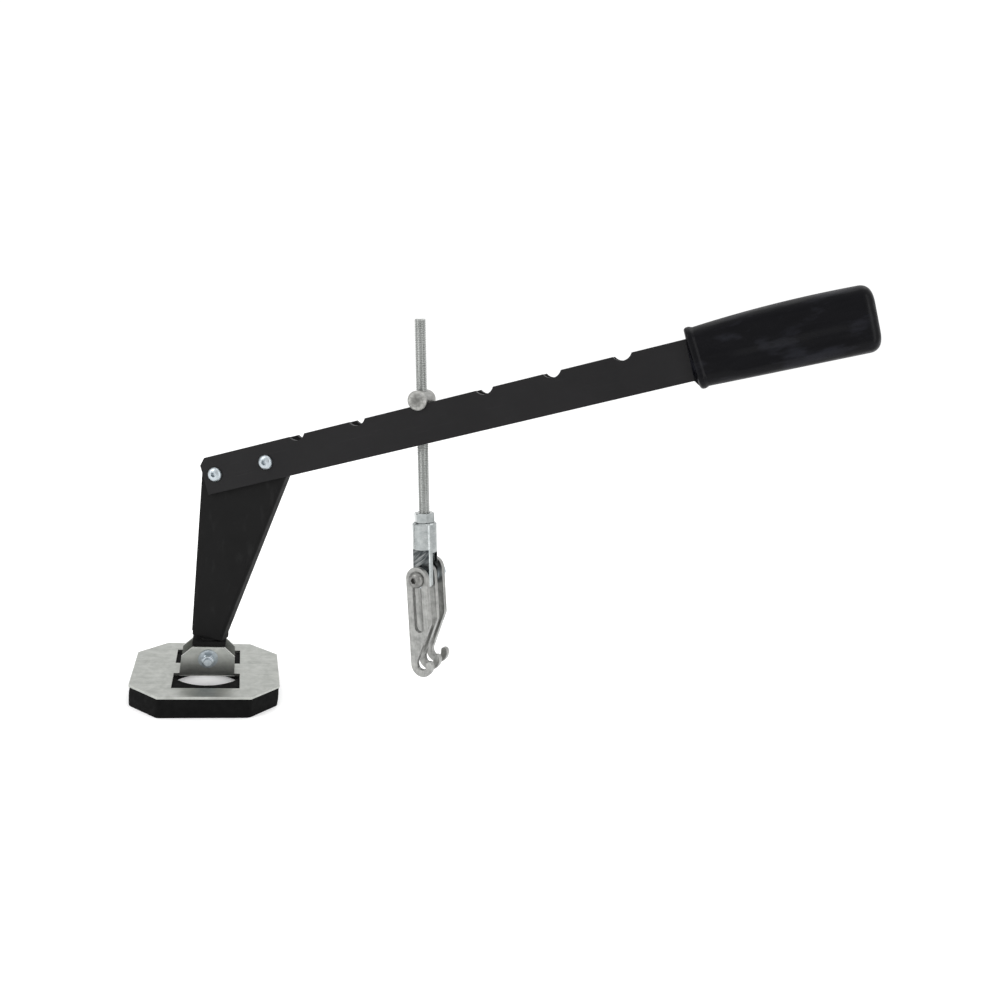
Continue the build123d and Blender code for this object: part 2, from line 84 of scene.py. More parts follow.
leverAlong, leverAcross, leverUp = leverAxes()
leverAngle = math.atan2(leverAlong[2], leverAlong[0])
footAcross = np.array(joints["foot_tilt"]["axis"])
footAlong = np.array([footAcross[1], -footAcross[0], 0.0])
footAngle = math.atan2(footAlong[1], footAlong[0])
rodUp = np.array(joints["rod_feed"]["axis"])
rodLean = math.atan2(-rodUp[0], rodUp[2])
pinCentre = np.array(joints["rod_swing"]["pos_m"])
boltCentre = np.array(joints["hook_middle_swing"]["pos_m"])
boltAlong = np.array(joints["hook_middle_swing"]["axis"])
hookUp = np.array(joints["hook_middle_slide"]["axis"])
hookTurn = Matrix((np.cross(boltAlong, hookUp), boltAlong, hookUp)).transposed().to_euler()


# rows x columns of points become one closed skin; the columns wrap round, and the rows either
# wrap too or are closed with a point in the middle of the first and last row
def skin(name, grid, sharp, wrapRows=False):
    rows, columns = grid.shape[:2]
    index = np.arange(rows * columns).reshape(rows, columns)
    nextColumn = np.roll(index, -1, axis=1)
    if wrapRows:
        nextRow = np.roll(index, -1, axis=0)
        quads = np.stack([index, nextColumn, np.roll(nextColumn, -1, axis=0), nextRow], axis=-1)
    else:
        quads = np.stack([index[:-1], nextColumn[:-1], nextColumn[1:], index[1:]], axis=-1)
    points = grid.reshape(-1, 3)
    faces = quads.reshape(-1, 4).tolist()
    if not wrapRows:
        first, last = len(points), len(points) + 1
        points = np.vstack([points, grid[0].mean(axis=0), grid[-1].mean(axis=0)])
        faces += np.stack([np.full(columns, first), nextColumn[0], index[0]], axis=-1).tolist()
        faces += np.stack([np.full(columns, last), index[-1], nextColumn[-1]], axis=-1).tolist()
    mesh = bpy.data.meshes.new(name)
    mesh.from_pydata(points.tolist(), [], faces)
    corners = points[quads.reshape(-1, 4)]
    volume = np.einsum("ij,ij->i", corners[:, 0], np.cross(corners[:, 1], corners[:, 2])).sum()
    volume += np.einsum("ij,ij->i", corners[:, 0], np.cross(corners[:, 2], corners[:, 3])).sum()
    if volume < 0:
        mesh.flip_normals()
    mesh.polygons.foreach_set("use_smooth", np.ones(len(mesh.polygons), bool))
    mesh.set_sharp_from_angle(angle=math.radians(sharp))
    piece = bpy.data.objects.new(name, mesh)
    bpy.context.scene.collection.objects.link(piece)
    return piece


# smooth step from 0 to 1 between two values
def ease(value, start, end):
    t = np.clip((value - start) / (end - start), 0.0, 1.0)
    return t * t * (3.0 - 2.0 * t)


rodShape = {
    "radius": 0.006,
    "pitch": 0.00175,
    "depth": 0.00095,
    "flankSteepness": 1.35,
    "crestFlat": 0.15,
    "endChamfer": 0.0012,
    "aroundCount": 40,
    "perTurn": 10,
}


# radius = crest less a rounded V whose phase climbs one pitch for each turn about the axis,
# cut down to a cone within the chamfer of each end
def makeRod():
    shape = rodShape
    low, high = reach("threaded_rod", rodUp)
    start = pinCentre @ rodUp
    low, high = low - start, high - start
    count = int((high - low) / shape["pitch"] * shape["perTurn"])
    height = np.linspace(low, high, count)[:, None]
    angle = np.linspace(0, 2 * np.pi, shape["aroundCount"], endpoint=False)[None, :]
    phase = (height / shape["pitch"] - angle / (2 * np.pi)) % 1.0
    valley = np.clip(shape["flankSteepness"] * np.abs(2 * phase - 1) - shape["crestFlat"], 0, 1)
    radius = shape["radius"] - shape["depth"] * valley
    toEnd = np.minimum(height - low, high - height)
    radius = np.minimum(radius, shape["radius"] - shape["endChamfer"] + toEnd)
    side = np.cross([0.0, 1.0, 0.0], rodUp)
    outward = np.cos(angle)[..., None] * side + np.sin(angle)[..., None] * leverAcross
    points = radius[..., None] * outward + pinCentre + height[..., None] * rodUp
    rod = skin("rod_thread", points, sharp=75.0)
    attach(rod, "rod")
    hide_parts("threaded_rod")
    return rod


rod = makeRod()
print("threaded rod made:", len(rod.data.polygons), "faces")


gripShape = {
    "lipProud": 0.0015,
    "topAtEnds": 0.0032,  # how much the top falls towards both ends
    "bottomAtMouth": 0.0044,  # how much higher the underside starts at the mouth
    "lipLength": 0.006,
    "lipRound": 0.0028,
    "lipFade": (0.75, 1.5),  # lip lengths between which the lip sinks to the grip's side
    "mouthSlant": 0.0048,
    "endRound": 0.011,
    "corner": 0.0125,
    "cornerShrink": 0.4,  # how fast a corner tightens as the edge it meets stands back
    "dishDepth": 0.0019,
    "dishStart": 0.028,
    "dishEnd": 0.016,
    "dishMiddle": -0.011,
    "dishHalfHeight": 0.0105,
    "dishFloor": 0.35,  # part of the half-height that is at full depth
    "dishSide": 0.6,  # part of the half-width beyond which a point is on a side
    "dishBlend": 0.022,
    "pocketCorner": 0.0005,
    "pocketSideGap": 0.00015,
    "pocketTopGap": 0.00215,  # over the spacer, which the bars outdo by 2 mm
    "pocketEndGap": 0.002,
    "pocketRim": 0.0004,
    "pocketRings": (1.0, 0.66, 0.33),  # parts of the pocket's depth that get a ring
    "mouthReach": 0.35,  # part of the length over which the slant fades out
    "aroundCount": 144,
    "lipRings": 26,
    "lipCrowding": 1.4,
    "lipReach": 1.6,  # lip lengths that the crowded rings cover
    "alongCount": 150,
    "endRings": 22,
}


# outline of a rounded rectangle as x and y: straight sides run between corner arcs, and the
# points are spaced evenly by length
def roundedRing(halfWidth, halfHeight, corner, count):
    t = np.arange(count) / count
    straightW, straightH, arc = 2 * (halfWidth - corner), 2 * (halfHeight - corner), corner * np.pi / 2
    lengths = np.array([straightH, arc, straightW, arc, straightH, arc, straightW, arc])
    marks = np.concatenate([[0], np.cumsum(lengths)])
    at = t * marks[-1]
    leg = np.clip(np.searchsorted(marks, at, side="right") - 1, 0, 7)
    part = at - marks[leg]
    quarter = leg // 2
    onArc = leg % 2 == 1
    turn = quarter * np.pi / 2 + np.where(onArc, part / corner, 0)
    cornerX = np.array([1, -1, -1, 1])[quarter] * (halfWidth - corner)
    cornerY = np.array([1, 1, -1, -1])[quarter] * (halfHeight - corner)
    arcX, arcY = cornerX + corner * np.cos(turn), cornerY + corner * np.sin(turn)
    runX, runY = halfWidth - corner - part, halfHeight - corner - part
    sideX = np.choose(quarter, [halfWidth + 0 * at, runX, -halfWidth + 0 * at, -runX])
    sideY = np.choose(quarter, [-runY, halfHeight + 0 * at, runY, -halfHeight + 0 * at])
    return np.where(onArc, arcX, sideX), np.where(onArc, arcY, sideY)


# how far a quarter-round edge stands back at a distance from the edge's face
def roundOver(distance, radius):
    t = 1 - min(distance / radius, 1)
    return radius * (1 - math.sqrt(max(0.0, 1 - t * t)))


# rings of rounded rectangles run out of the pocket, over the lip, along the outside and in over
# the end; each side has a long shallow dish below its middle
def makeGrip():
    shape = gripShape
    start, end = reach("grip", leverAlong)
    low, high = reach("grip", leverUp)
    halfWidth = reach("grip", leverAcross)[1] - shape["lipProud"]
    halfHeight = (high - low) / 2 - shape["lipProud"]
    middle = (low + high) / 2
    spacer = reach("handle_spacer", leverAlong)[1]
    spacerLow, spacerHigh = reach("handle_spacer", leverUp)
    pocketHalfWidth = reach("lever_bar_far", leverAcross)[1] + shape["pocketSideGap"]
    pocketHalfHeight = (spacerHigh - spacerLow) / 2 + shape["pocketTopGap"]
    length = end - start
    crowded = np.linspace(0, 1, shape["lipRings"]) ** shape["lipCrowding"]
    along = np.concatenate([
        crowded * shape["lipLength"] * shape["lipReach"],
        np.linspace(shape["lipLength"] * 1.65, length - shape["endRound"] * 1.02, shape["alongCount"]),
        length - shape["endRound"] * (1 - np.sin(np.linspace(0.02, 1, shape["endRings"]) * np.pi / 2)),
    ])
    rings = []
    pocketDepth = spacer - start + shape["pocketEndGap"]
    for depth in [pocketDepth * part for part in shape["pocketRings"]] + [shape["pocketRim"]]:
        x, y = roundedRing(pocketHalfWidth, pocketHalfHeight, shape["pocketCorner"], shape["aroundCount"])
        rings.append(np.stack([np.full_like(x, depth), x, y], axis=-1))
    lipFrom, lipTo = (shape["lipLength"] * part for part in shape["lipFade"])
    dishStart, dishEnd = shape["dishStart"], length - shape["dishEnd"]
    for step in along:
        lip = shape["lipProud"] * (1 - ease(step, lipFrom, lipTo))
        mouth = roundOver(step, shape["lipRound"])
        tail = roundOver(length - step, shape["endRound"])
        fall = shape["topAtEnds"] * (2 * step / length - 1) ** 2
        lift = shape["bottomAtMouth"] * (1 - step / length)
        inset = mouth + tail - lip
        corner = shape["corner"] - shape["cornerShrink"] * (mouth + tail)
        ringHeight = halfHeight - inset - (fall + lift) / 2
        x, y = roundedRing(halfWidth - inset, ringHeight, corner, shape["aroundCount"])
        y = y + (lift - fall) / 2
        lengthways = ease(step, dishStart, dishStart + shape["dishBlend"])
        lengthways *= 1 - ease(step, dishEnd - shape["dishBlend"], dishEnd)
        fromDish = np.abs(y - shape["dishMiddle"])
        dishHalf = shape["dishHalfHeight"]
        crosswise = 1 - ease(fromDish, dishHalf * shape["dishFloor"], dishHalf)
        onSide = np.abs(x) > halfWidth * shape["dishSide"]
        x = x - np.sign(x) * shape["dishDepth"] * lengthways * crosswise * onSide
        slant = shape["mouthSlant"] * (1 - ease(step, 0, shape["mouthReach"] * length))
        slant = slant * (0.5 - y / (2 * halfHeight))
        rings.append(np.stack([step + slant, x, y], axis=-1))
    grid = np.array(rings)
    axes = np.array([leverAlong, leverAcross, leverUp])
    grid = (grid + [start, 0, middle]) @ axes
    grip = skin("grip_sleeve", grid, sharp=60.0)
    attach(grip, "lever")
    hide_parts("grip")
    return grip


grip = makeGrip()
print("grip made:", len(grip.data.polygons), "faces")


rubberShape = {
    "lowRound": 0.0010,
    "topRound": 0.0005,
    "holeRound": 0.0015,
    "swell": 0.0005,
    "cornerRound": 0.0016,
    "aroundCount": 480,
    "sideCount": 14,
    "arcCount": 6,
    "holeRings": (0.33, 0.66),
}


octagonPower = 2.2  # softening that matches a corner of the given radius


# distance from the middle to an octagon's side at each angle, softened where two sides meet
def octagonReach(angle, halfLength, halfWidth, cut, soften):
    c, s = np.abs(np.cos(angle)), np.abs(np.sin(angle))
    sides = np.stack([c / halfLength, s / halfWidth, (c + s) / (halfLength + halfWidth - cut)])
    power = halfLength / soften * octagonPower
    return 1.0 / (np.sum(sides ** power, axis=0) ** (1.0 / power))


# a loop of heights and insets, up the outer side, over the top, down the hole and back underneath,
# is carried round the middle; the outer half follows the octagon and the inner half the hole
def makeRubber():
    shape = rubberShape
    points = nodePoints("rubber_pad")
    halfLength = (points @ footAlong).max()
    halfWidth = (points @ footAcross).max()
    cut = halfLength + halfWidth - (np.abs(points @ footAlong) + np.abs(points @ footAcross)).max()
    height = points[:, 2].max()
    hole = np.hypot(points[:, 0], points[:, 1]).min()
    angle = np.linspace(0, 2 * np.pi, shape["aroundCount"], endpoint=False)
    outer = octagonReach(angle, halfLength, halfWidth, cut, shape["cornerRound"])
    arc = np.linspace(0, np.pi / 2, shape["arcCount"])
    low, top, rim = shape["lowRound"], shape["topRound"], shape["holeRound"]
    side = np.linspace(0, 1, shape["sideCount"])
    loop = [(0, low * (1 - math.sin(a)), low * (1 - math.cos(a))) for a in arc]
    wall = height - low - top
    loop += [(0, -shape["swell"] * math.sin(math.pi * t), low + wall * t) for t in side[1:-1]]
    loop += [(0, top * (1 - math.cos(a)), height - top * (1 - math.sin(a))) for a in arc]
    loop += [(1, rim * (1 - math.sin(a)), height - rim * (1 - math.cos(a))) for a in arc]
    loop += [(1, 0, height + (2 * rim - height) * t) for t in shape["holeRings"]]
    loop += [(1, rim * (1 - math.cos(a)), rim * (1 - math.sin(a))) for a in arc]
    rows = []
    for inner, inset, z in loop:
        radius = hole + inset + 0 * angle if inner else outer - inset
        x, y = radius * np.cos(angle), radius * np.sin(angle)
        place = x[:, None] * footAlong + y[:, None] * footAcross
        rows.append(place + np.array([0, 0, z]))
    rubber = skin("rubber_block", np.array(rows), wrapRows=True, sharp=50.0)
    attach(rubber, "foot")
    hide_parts("rubber_pad")
    return rubber


rubber = makeRubber()
print("rubber block made:", len(rubber.data.polygons), "faces")


# a shader node with its settings and inputs; an input that is a socket is linked
def addNode(tree, kind, settings=None, **inputs):
    made = tree.nodes.new("ShaderNode" + kind)
    for key, value in (settings or {}).items():
        setattr(made, key, value)
    for key, value in inputs.items():
        socket = made.inputs[int(key[1:]) if key[0] == "_" else key]
        if isinstance(value, bpy.types.NodeSocket):
            tree.links.new(value, socket)
        else:
            socket.default_value = value
    return made


# object coordinates in a turned frame, divided by a size in metres along each of its axes
def patternSpace(tree, size, turn=(0, 0, 0), centre=(0, 0, 0)):
    coords = addNode(tree, "TexCoord")
    size = size if isinstance(size, tuple) else (size, size, size)
    place = addNode(tree, "Mapping", {"vector_type": "TEXTURE"}, Vector=coords.outputs["Object"],
                    Location=tuple(centre), Rotation=tuple(turn), Scale=size)
    return place.outputs["Vector"]


# soft cloudy value from 0 to 1 whose blotches are about the given size in metres
def cloud(tree, size, turn=(0, 0, 0), detail=3.0, roughness=0.55, distortion=0.0):
    noise = addNode(tree, "TexNoise", Vector=patternSpace(tree, size, turn), Scale=1.0,
                    Detail=detail, Roughness=roughness, Distortion=distortion)
    return noise.outputs["Fac"]


# value carried from one range to another, clamped
def spread(tree, value, fromLow, fromHigh, toLow=0.0, toHigh=1.0):
    made = addNode(tree, "MapRange", None, _0=value, _1=fromLow, _2=fromHigh, _3=toLow, _4=toHigh)
    return made.outputs["Result"]


cloudRange = (0.3, 0.7)  # where nearly all of a cloud's values lie


# a cloud's usual range carried to new limits
def between(tree, value, limits=(0.0, 1.0)):
    return spread(tree, value, *cloudRange, *limits)


# two values joined by an arithmetic step
def combine(tree, operation, first, second):
    return addNode(tree, "Math", {"operation": operation}, _0=first, _1=second).outputs[0]


# weighted sum of two values
def weigh(tree, first, firstShare, second, secondShare):
    first = combine(tree, "MULTIPLY", first, firstShare)
    return combine(tree, "ADD", first, combine(tree, "MULTIPLY", second, secondShare))


# mix of two colours, from the first at 0 to the second at 1
def tint(tree, value, first, second):
    mixed = addNode(tree, "Mix", {"data_type": "RGBA"})
    for socket, entry in ((mixed.inputs[0], value), (mixed.inputs[6], first), (mixed.inputs[7], second)):
        if isinstance(entry, bpy.types.NodeSocket):
            tree.links.new(entry, socket)
        else:
            socket.default_value = (*entry, 1.0) if isinstance(entry, tuple) else entry
    return mixed.outputs[2]


# relief of a height value, laid over an earlier one
def relief(tree, height, depth, under=None):
    made = addNode(tree, "Bump", None, Height=height, Distance=depth, Strength=1.0)
    if under is not None:
        tree.links.new(under, made.inputs["Normal"])
    return made.outputs["Normal"]


def startMaterial(name, metallic=0.0, **fixed):
    material = bpy.data.materials.new(name)
    material.use_nodes = True
    tree = material.node_tree
    shader = tree.nodes["Principled BSDF"]
    shader.inputs["Metallic"].default_value = metallic
    for key, value in fixed.items():
        shader.inputs[key.replace("_", " ")].default_value = value
    return material, tree, shader


def finishMaterial(tree, shader, colour, roughness, normal):
    tree.links.new(colour, shader.inputs["Base Color"])
    tree.links.new(roughness, shader.inputs["Roughness"])
    tree.links.new(normal, shader.inputs["Normal"])


# distance in metres from a line through a point along the turned Y axis
def distanceFromLine(tree, centre, turn=(0, 0, 0)):
    space = patternSpace(tree, 1.0, turn, centre)
    flat = addNode(tree, "VectorMath", {"operation": "MULTIPLY"}, _0=space, _1=(1.0, 0.0, 1.0))
    length = addNode(tree, "VectorMath", {"operation": "LENGTH"}, _0=flat.outputs[0])
    return length.outputs["Value"]


seatPlaces = {
    "first": 0.1188,  # from the bar's low end to the middle of its first seat
    "pitch": 0.0695,
    "count": 6,
    "above": 0.0045,  # height of a seat's middle over the bar's top edge
    "barAboveSpacer": 0.002,
}
leverLook = {
    "specular": 0.12,
    "dark": (0.0075, 0.0073, 0.0078),
    "light": (0.0130, 0.0126, 0.0133),
    "patch": 0.05,
    "gloss": (0.36, 0.50),
    "glossPatch": 0.012,
    "scratch": (0.08, 0.08, 0.08),
    "scratchSize": (0.05, 0.0006, 0.0004),
    "scratchRange": (0.70, 0.74),
    "scratchShare": 0.15,
    "scratchGloss": 0.06,
    "steel": (0.07, 0.07, 0.067),
    "seatRadius": 0.0101,
    "rubbedFrom": 0.0012,  # how far inside that radius the bare steel starts to end
    "rubbedTo": 0.0009,
    "ragged": 0.0018,
    "raggedDepth": 0.0016,
    "peel": 0.0011,
    "peelDepth": 0.00003,
}


# satin powder coat with orange peel, hair scratches along the bar, and bare steel in the seats
def makeLeverPaint():
    look = leverLook
    material, tree, shader = startMaterial("satin_powder_coat", Specular_IOR_Level=look["specular"])
    turn = (0, -leverAngle, 0)
    barLow = reach("lever_bar_near", leverAlong)[0]
    barTop = reach("handle_spacer", leverUp)[1] + seatPlaces["barAboveSpacer"]
    nearest = None
    for seat in range(seatPlaces["count"]):
        along = barLow + seatPlaces["first"] + seat * seatPlaces["pitch"]
        centre = leverAlong * along + leverUp * (barTop + seatPlaces["above"])
        apart = distanceFromLine(tree, centre, turn)
        nearest = apart if nearest is None else combine(tree, "MINIMUM", nearest, apart)
    ragged = cloud(tree, look["ragged"], turn, detail=4.0)
    nearest = combine(tree, "SUBTRACT", nearest, combine(tree, "MULTIPLY", ragged, look["raggedDepth"]))
    rubbed = spread(tree, nearest, look["seatRadius"] - look["rubbedFrom"],
                    look["seatRadius"] - look["rubbedTo"], 1.0, 0.0)
    scratches = spread(tree, cloud(tree, look["scratchSize"], turn, detail=2.0), *look["scratchRange"])
    colour = tint(tree, cloud(tree, look["patch"], turn), look["dark"], look["light"])
    colour = tint(tree, combine(tree, "MULTIPLY", scratches, look["scratchShare"]), colour, look["scratch"])
    colour = tint(tree, rubbed, colour, look["steel"])
    roughness = between(tree, cloud(tree, look["glossPatch"], turn), look["gloss"])
    polished = combine(tree, "MULTIPLY", scratches, look["scratchGloss"])
    roughness = combine(tree, "SUBTRACT", roughness, polished)
    tree.links.new(rubbed, shader.inputs["Metallic"])
    normal = relief(tree, cloud(tree, look["peel"], turn, detail=2.0), look["peelDepth"])
    finishMaterial(tree, shader, colour, roughness, normal)
    return material


legLook = {
    "specular": 0.08,
    "dark": (0.0042, 0.0042, 0.0042),
    "light": (0.0074, 0.0074, 0.0075),
    "patch": 0.04,
    "gloss": (0.50, 0.64),
    "glossPatch": 0.01,
    "dust": (0.022, 0.022, 0.022),
    "dustSize": (0.01, 0.01, 0.03),
    "dustRange": (0.58, 0.75),
    "dustShare": 0.35,
    "peel": 0.0012,
    "peelDepth": 0.00004,
}


# duller, coarser powder coat with faint dusty rubs
def makeLegPaint():
    look = legLook
    material, tree, shader = startMaterial("matt_powder_coat", Specular_IOR_Level=look["specular"])
    colour = tint(tree, cloud(tree, look["patch"]), look["dark"], look["light"])
    dust = cloud(tree, look["dustSize"], detail=5.0)
    dust = spread(tree, dust, *look["dustRange"], 0.0, look["dustShare"])
    colour = tint(tree, dust, colour, look["dust"])
    roughness = between(tree, cloud(tree, look["glossPatch"]), look["gloss"])
    normal = relief(tree, cloud(tree, look["peel"], detail=2.0), look["peelDepth"])
    finishMaterial(tree, shader, colour, roughness, normal)
    return material


vinylLook = {
    "specular": 0.09,
    "coat": 0.05,
    "coatRoughness": 0.2,
    "coatIndex": 1.4,
    "dark": (0.0006, 0.0006, 0.0012),
    "light": (0.0018, 0.0018, 0.0030),
    "patch": 0.03,
    "gloss": (0.30, 0.46),
    "glossPatch": (0.03, 0.012, 0.012),
    # colour of the painted soft highlights
    "paintedSheen": (0.0085, 0.0088, 0.0120),
    "sheenSize": (0.04, 0.014, 0.014),
    "sheenRange": (0.48, 0.62),
    "sheenShare": 0.9,
    "dent": (0.025, 0.012, 0.010),
    "dentDepth": 0.0011,
    "grain": 0.0009,
    "grainDepth": 0.00003,
}


# dipped vinyl: glossy, with slow dents, a fine skin grain, duller patches and painted soft highlights
def makeGripVinyl():
    look = vinylLook
    material, tree, shader = startMaterial(
        "glossy_vinyl", Specular_IOR_Level=look["specular"], Coat_Weight=look["coat"],
        Coat_Roughness=look["coatRoughness"], Coat_IOR=look["coatIndex"],
    )
    turn = (0, -leverAngle, 0)
    colour = tint(tree, cloud(tree, look["patch"], turn), look["dark"], look["light"])
    # lighter bluish patches: painted soft highlights
    paintedSheen = cloud(tree, look["sheenSize"], turn, detail=3.0)
    paintedSheen = spread(tree, paintedSheen, *look["sheenRange"], 0.0, look["sheenShare"])
    colour = tint(tree, paintedSheen, colour, look["paintedSheen"])
    roughness = between(tree, cloud(tree, look["glossPatch"], turn, detail=4.0), look["gloss"])
    normal = relief(tree, cloud(tree, look["dent"], turn, detail=1.5), look["dentDepth"])
    normal = relief(tree, cloud(tree, look["grain"], turn, detail=2.0), look["grainDepth"], normal)
    finishMaterial(tree, shader, colour, roughness, normal)
    return material


rubberLook = {
    "specular": 0.09,
    "dark": (0.0018, 0.0018, 0.0018),
    "light": (0.0038, 0.0038, 0.0038),
    "patch": 0.02,
    "gloss": (0.66, 0.88),
    "glossPatch": 0.006,
    "scuff": (0.02, 0.02, 0.02),
    "scuffSize": (0.02, 0.02, 0.004),
    "scuffRange": (0.60, 0.78),
    "scuffShare": 0.4,
    "cut": (0.03, 0.03, 0.0006),
    "cutDepth": 0.00012,
    "grain": 0.0007,
    "grainDepth": 0.0001,
}


# matt rubber with a moulded grain, cut lines round its sides and grey scuffs
def makeFootRubber():
    look = rubberLook
    material, tree, shader = startMaterial("moulded_rubber", Specular_IOR_Level=look["specular"])
    colour = tint(tree, cloud(tree, look["patch"]), look["dark"], look["light"])
    scuff = cloud(tree, look["scuffSize"], detail=6.0, roughness=0.7)
    scuff = spread(tree, scuff, *look["scuffRange"], 0.0, look["scuffShare"])
    colour = tint(tree, scuff, colour, look["scuff"])
    roughness = between(tree, cloud(tree, look["glossPatch"]), look["gloss"])
    normal = relief(tree, cloud(tree, look["cut"], detail=2.0), look["cutDepth"])
    normal = relief(tree, cloud(tree, look["grain"], detail=3.0), look["grainDepth"], normal)
    finishMaterial(tree, shader, colour, roughness, normal)
    return material


plateLook = {
    "dark": (0.31, 0.32, 0.30),
    "light": (0.46, 0.47, 0.445),
    "colourRange": (0.35, 0.62),
    "patch": 0.012,
    "patchShare": 0.6,
    "gloss": (0.42, 0.30),
    "rolled": (0.06, 0.0009, 0.01),
    "rolledDepth": 0.00003,
    "pit": 0.0012,
    "pitDepth": 0.00004,
}


# passivated zinc sheet: cloudy blotches, rolling marks along the plate and fine pits
def makePlateZinc():
    look = plateLook
    material, tree, shader = startMaterial("passivated_sheet", metallic=1.0)
    turn = (0, 0, footAngle)
    blotch = cloud(tree, look["patch"], turn, detail=6.0, roughness=0.65, distortion=0.4)
    rolled = cloud(tree, look["rolled"], turn, detail=3.0)
    value = weigh(tree, blotch, look["patchShare"], rolled, 1 - look["patchShare"])
    colour = tint(tree, spread(tree, value, *look["colourRange"]), look["dark"], look["light"])
    roughness = between(tree, blotch, look["gloss"])
    normal = relief(tree, rolled, look["rolledDepth"])
    normal = relief(tree, cloud(tree, look["pit"], turn, detail=4.0), look["pitDepth"], normal)
    finishMaterial(tree, shader, colour, roughness, normal)
    return material


hookLook = {
    "dark": (0.21, 0.212, 0.205),
    "light": (0.38, 0.383, 0.37),
    "colourRange": (0.35, 0.65),
    "patch": 0.007,
    "patchShare": 0.65,
    "gloss": (0.46, 0.32),
    "lengthwiseStreaks": (0.0008, 0.0008, 0.03),
    "drawnDepth": 0.00002,
    "dent": 0.0016,
    "dentDepth": 0.00005,
}


# tumbled plate: satin, with draw marks down each hook and small dents
def makeHookZinc():
    look = hookLook
    material, tree, shader = startMaterial("tumbled_plate", metallic=1.0)
    turn = tuple(hookTurn)
    lengthwiseStreaks = cloud(tree, look["lengthwiseStreaks"], turn, detail=3.0)
    blotch = cloud(tree, look["patch"], turn, detail=5.0, roughness=0.6)
    value = weigh(tree, blotch, look["patchShare"], lengthwiseStreaks, 1 - look["patchShare"])
    colour = tint(tree, spread(tree, value, *look["colourRange"]), look["dark"], look["light"])
    roughness = between(tree, blotch, look["gloss"])
    normal = relief(tree, lengthwiseStreaks, look["drawnDepth"])
    normal = relief(tree, cloud(tree, look["dent"], turn, detail=3.0), look["dentDepth"], normal)
    finishMaterial(tree, shader, colour, roughness, normal)
    return material


pinLook = {
    "dark": (0.22, 0.22, 0.21),
    "light": (0.40, 0.40, 0.385),
    "colourRange": (0.35, 0.65),
    "patch": 0.003,
    "patchDepth": 0.00008,
    "gloss": (0.55, 0.40),
    "middle": (0.09, 0.09, 0.085),
    "middleRange": (0.0045, 0.0095),  # distances from the axis between which it fades out
    "middleShare": 0.75,
    "middleRagged": 0.004,
    "ringsPerMetre": 14000.0,
    "ringDepth": 0.00002,
}


# turned steel: rings about the pin's axis on its ends, which darken towards their middle
def makePinSteel():
    look = pinLook
    material, tree, shader = startMaterial("turned_steel", metallic=1.0)
    apart = distanceFromLine(tree, pinCentre)
    rings = combine(tree, "MULTIPLY", apart, look["ringsPerMetre"])
    rings = addNode(tree, "Math", {"operation": "SINE"}, _0=rings).outputs[0]
    blotch = cloud(tree, look["patch"], detail=6.0, roughness=0.7)
    colour = tint(tree, spread(tree, blotch, *look["colourRange"]), look["dark"], look["light"])
    middle = weigh(tree, apart, 1.0, blotch, look["middleRagged"])
    middle = spread(tree, middle, *look["middleRange"], look["middleShare"], 0.0)
    colour = tint(tree, middle, colour, look["middle"])
    roughness = between(tree, blotch, look["gloss"])
    normal = relief(tree, rings, look["ringDepth"])
    normal = relief(tree, blotch, look["patchDepth"], normal)
    finishMaterial(tree, shader, colour, roughness, normal)
    return material


# direction along the rod, for reflections drawn out lengthways
def alongRod(tree, shader):
    axis = addNode(tree, "CombineXYZ", None, X=rodUp[0], Y=rodUp[1], Z=rodUp[2])
    tree.links.new(axis.outputs["Vector"], shader.inputs["Tangent"])


rodLook = {
    "stretch": 0.8,
    "dark": (0.33, 0.34, 0.33),
    "light": (0.47, 0.48, 0.47),
    "colourRange": (0.35, 0.65),
    "lengthwiseStreaks": (0.0014, 0.0014, 0.05),
    "gloss": (0.30, 0.40),
    "glossPatch": 0.004,
    "grain": 0.001,
    "grainDepth": 0.000008,
}


# rolled thread: satin zinc, its colour in lengthwise light and dark streaks of painted reflection
def makeRodZinc():
    look = rodLook
    material, tree, shader = startMaterial("rolled_thread_zinc", metallic=1.0, Anisotropic=look["stretch"])
    alongRod(tree, shader)
    turn = (0, -rodLean, 0)
    # lengthwise streaks of lighter and darker colour: painted reflection streaks
    lengthwiseStreaks = cloud(tree, look["lengthwiseStreaks"], turn, detail=2.0)
    colour = tint(tree, spread(tree, lengthwiseStreaks, *look["colourRange"]), look["dark"], look["light"])
    roughness = between(tree, cloud(tree, look["glossPatch"], turn), look["gloss"])
    normal = relief(tree, cloud(tree, look["grain"], turn), look["grainDepth"])
    finishMaterial(tree, shader, colour, roughness, normal)
    return material


steelLooks = {
    "fastener_zinc": {
        "name": "fastener_zinc_plate",
        "dark": (0.32, 0.36, 0.385),
        "light": (0.47, 0.51, 0.54),
        "lines": (0.003, 0.0006, 0.003),
        "gloss": (0.26, 0.40),
    },
    "bolt_steel": {
        "name": "dull_bolt_steel",
        "dark": (0.14, 0.14, 0.135),
        "light": (0.26, 0.26, 0.25),
        "lines": (0.001, 0.001, 0.001),
        "gloss": (0.30, 0.44),
    },
    "plain_steel": {
        "name": "oiled_steel",
        "dark": (0.26, 0.26, 0.26),
        "light": (0.40, 0.40, 0.40),
        "lines": (0.004, 0.0005, 0.004),
        "gloss": (0.30, 0.44),
    },
}
steelSkin = {
    "patch": 0.004,
    "glossRange": (0.1, 0.4),
    "lineDepth": 0.000006,
    "dent": 0.003,
    "dentDepth": 0.00002,
}


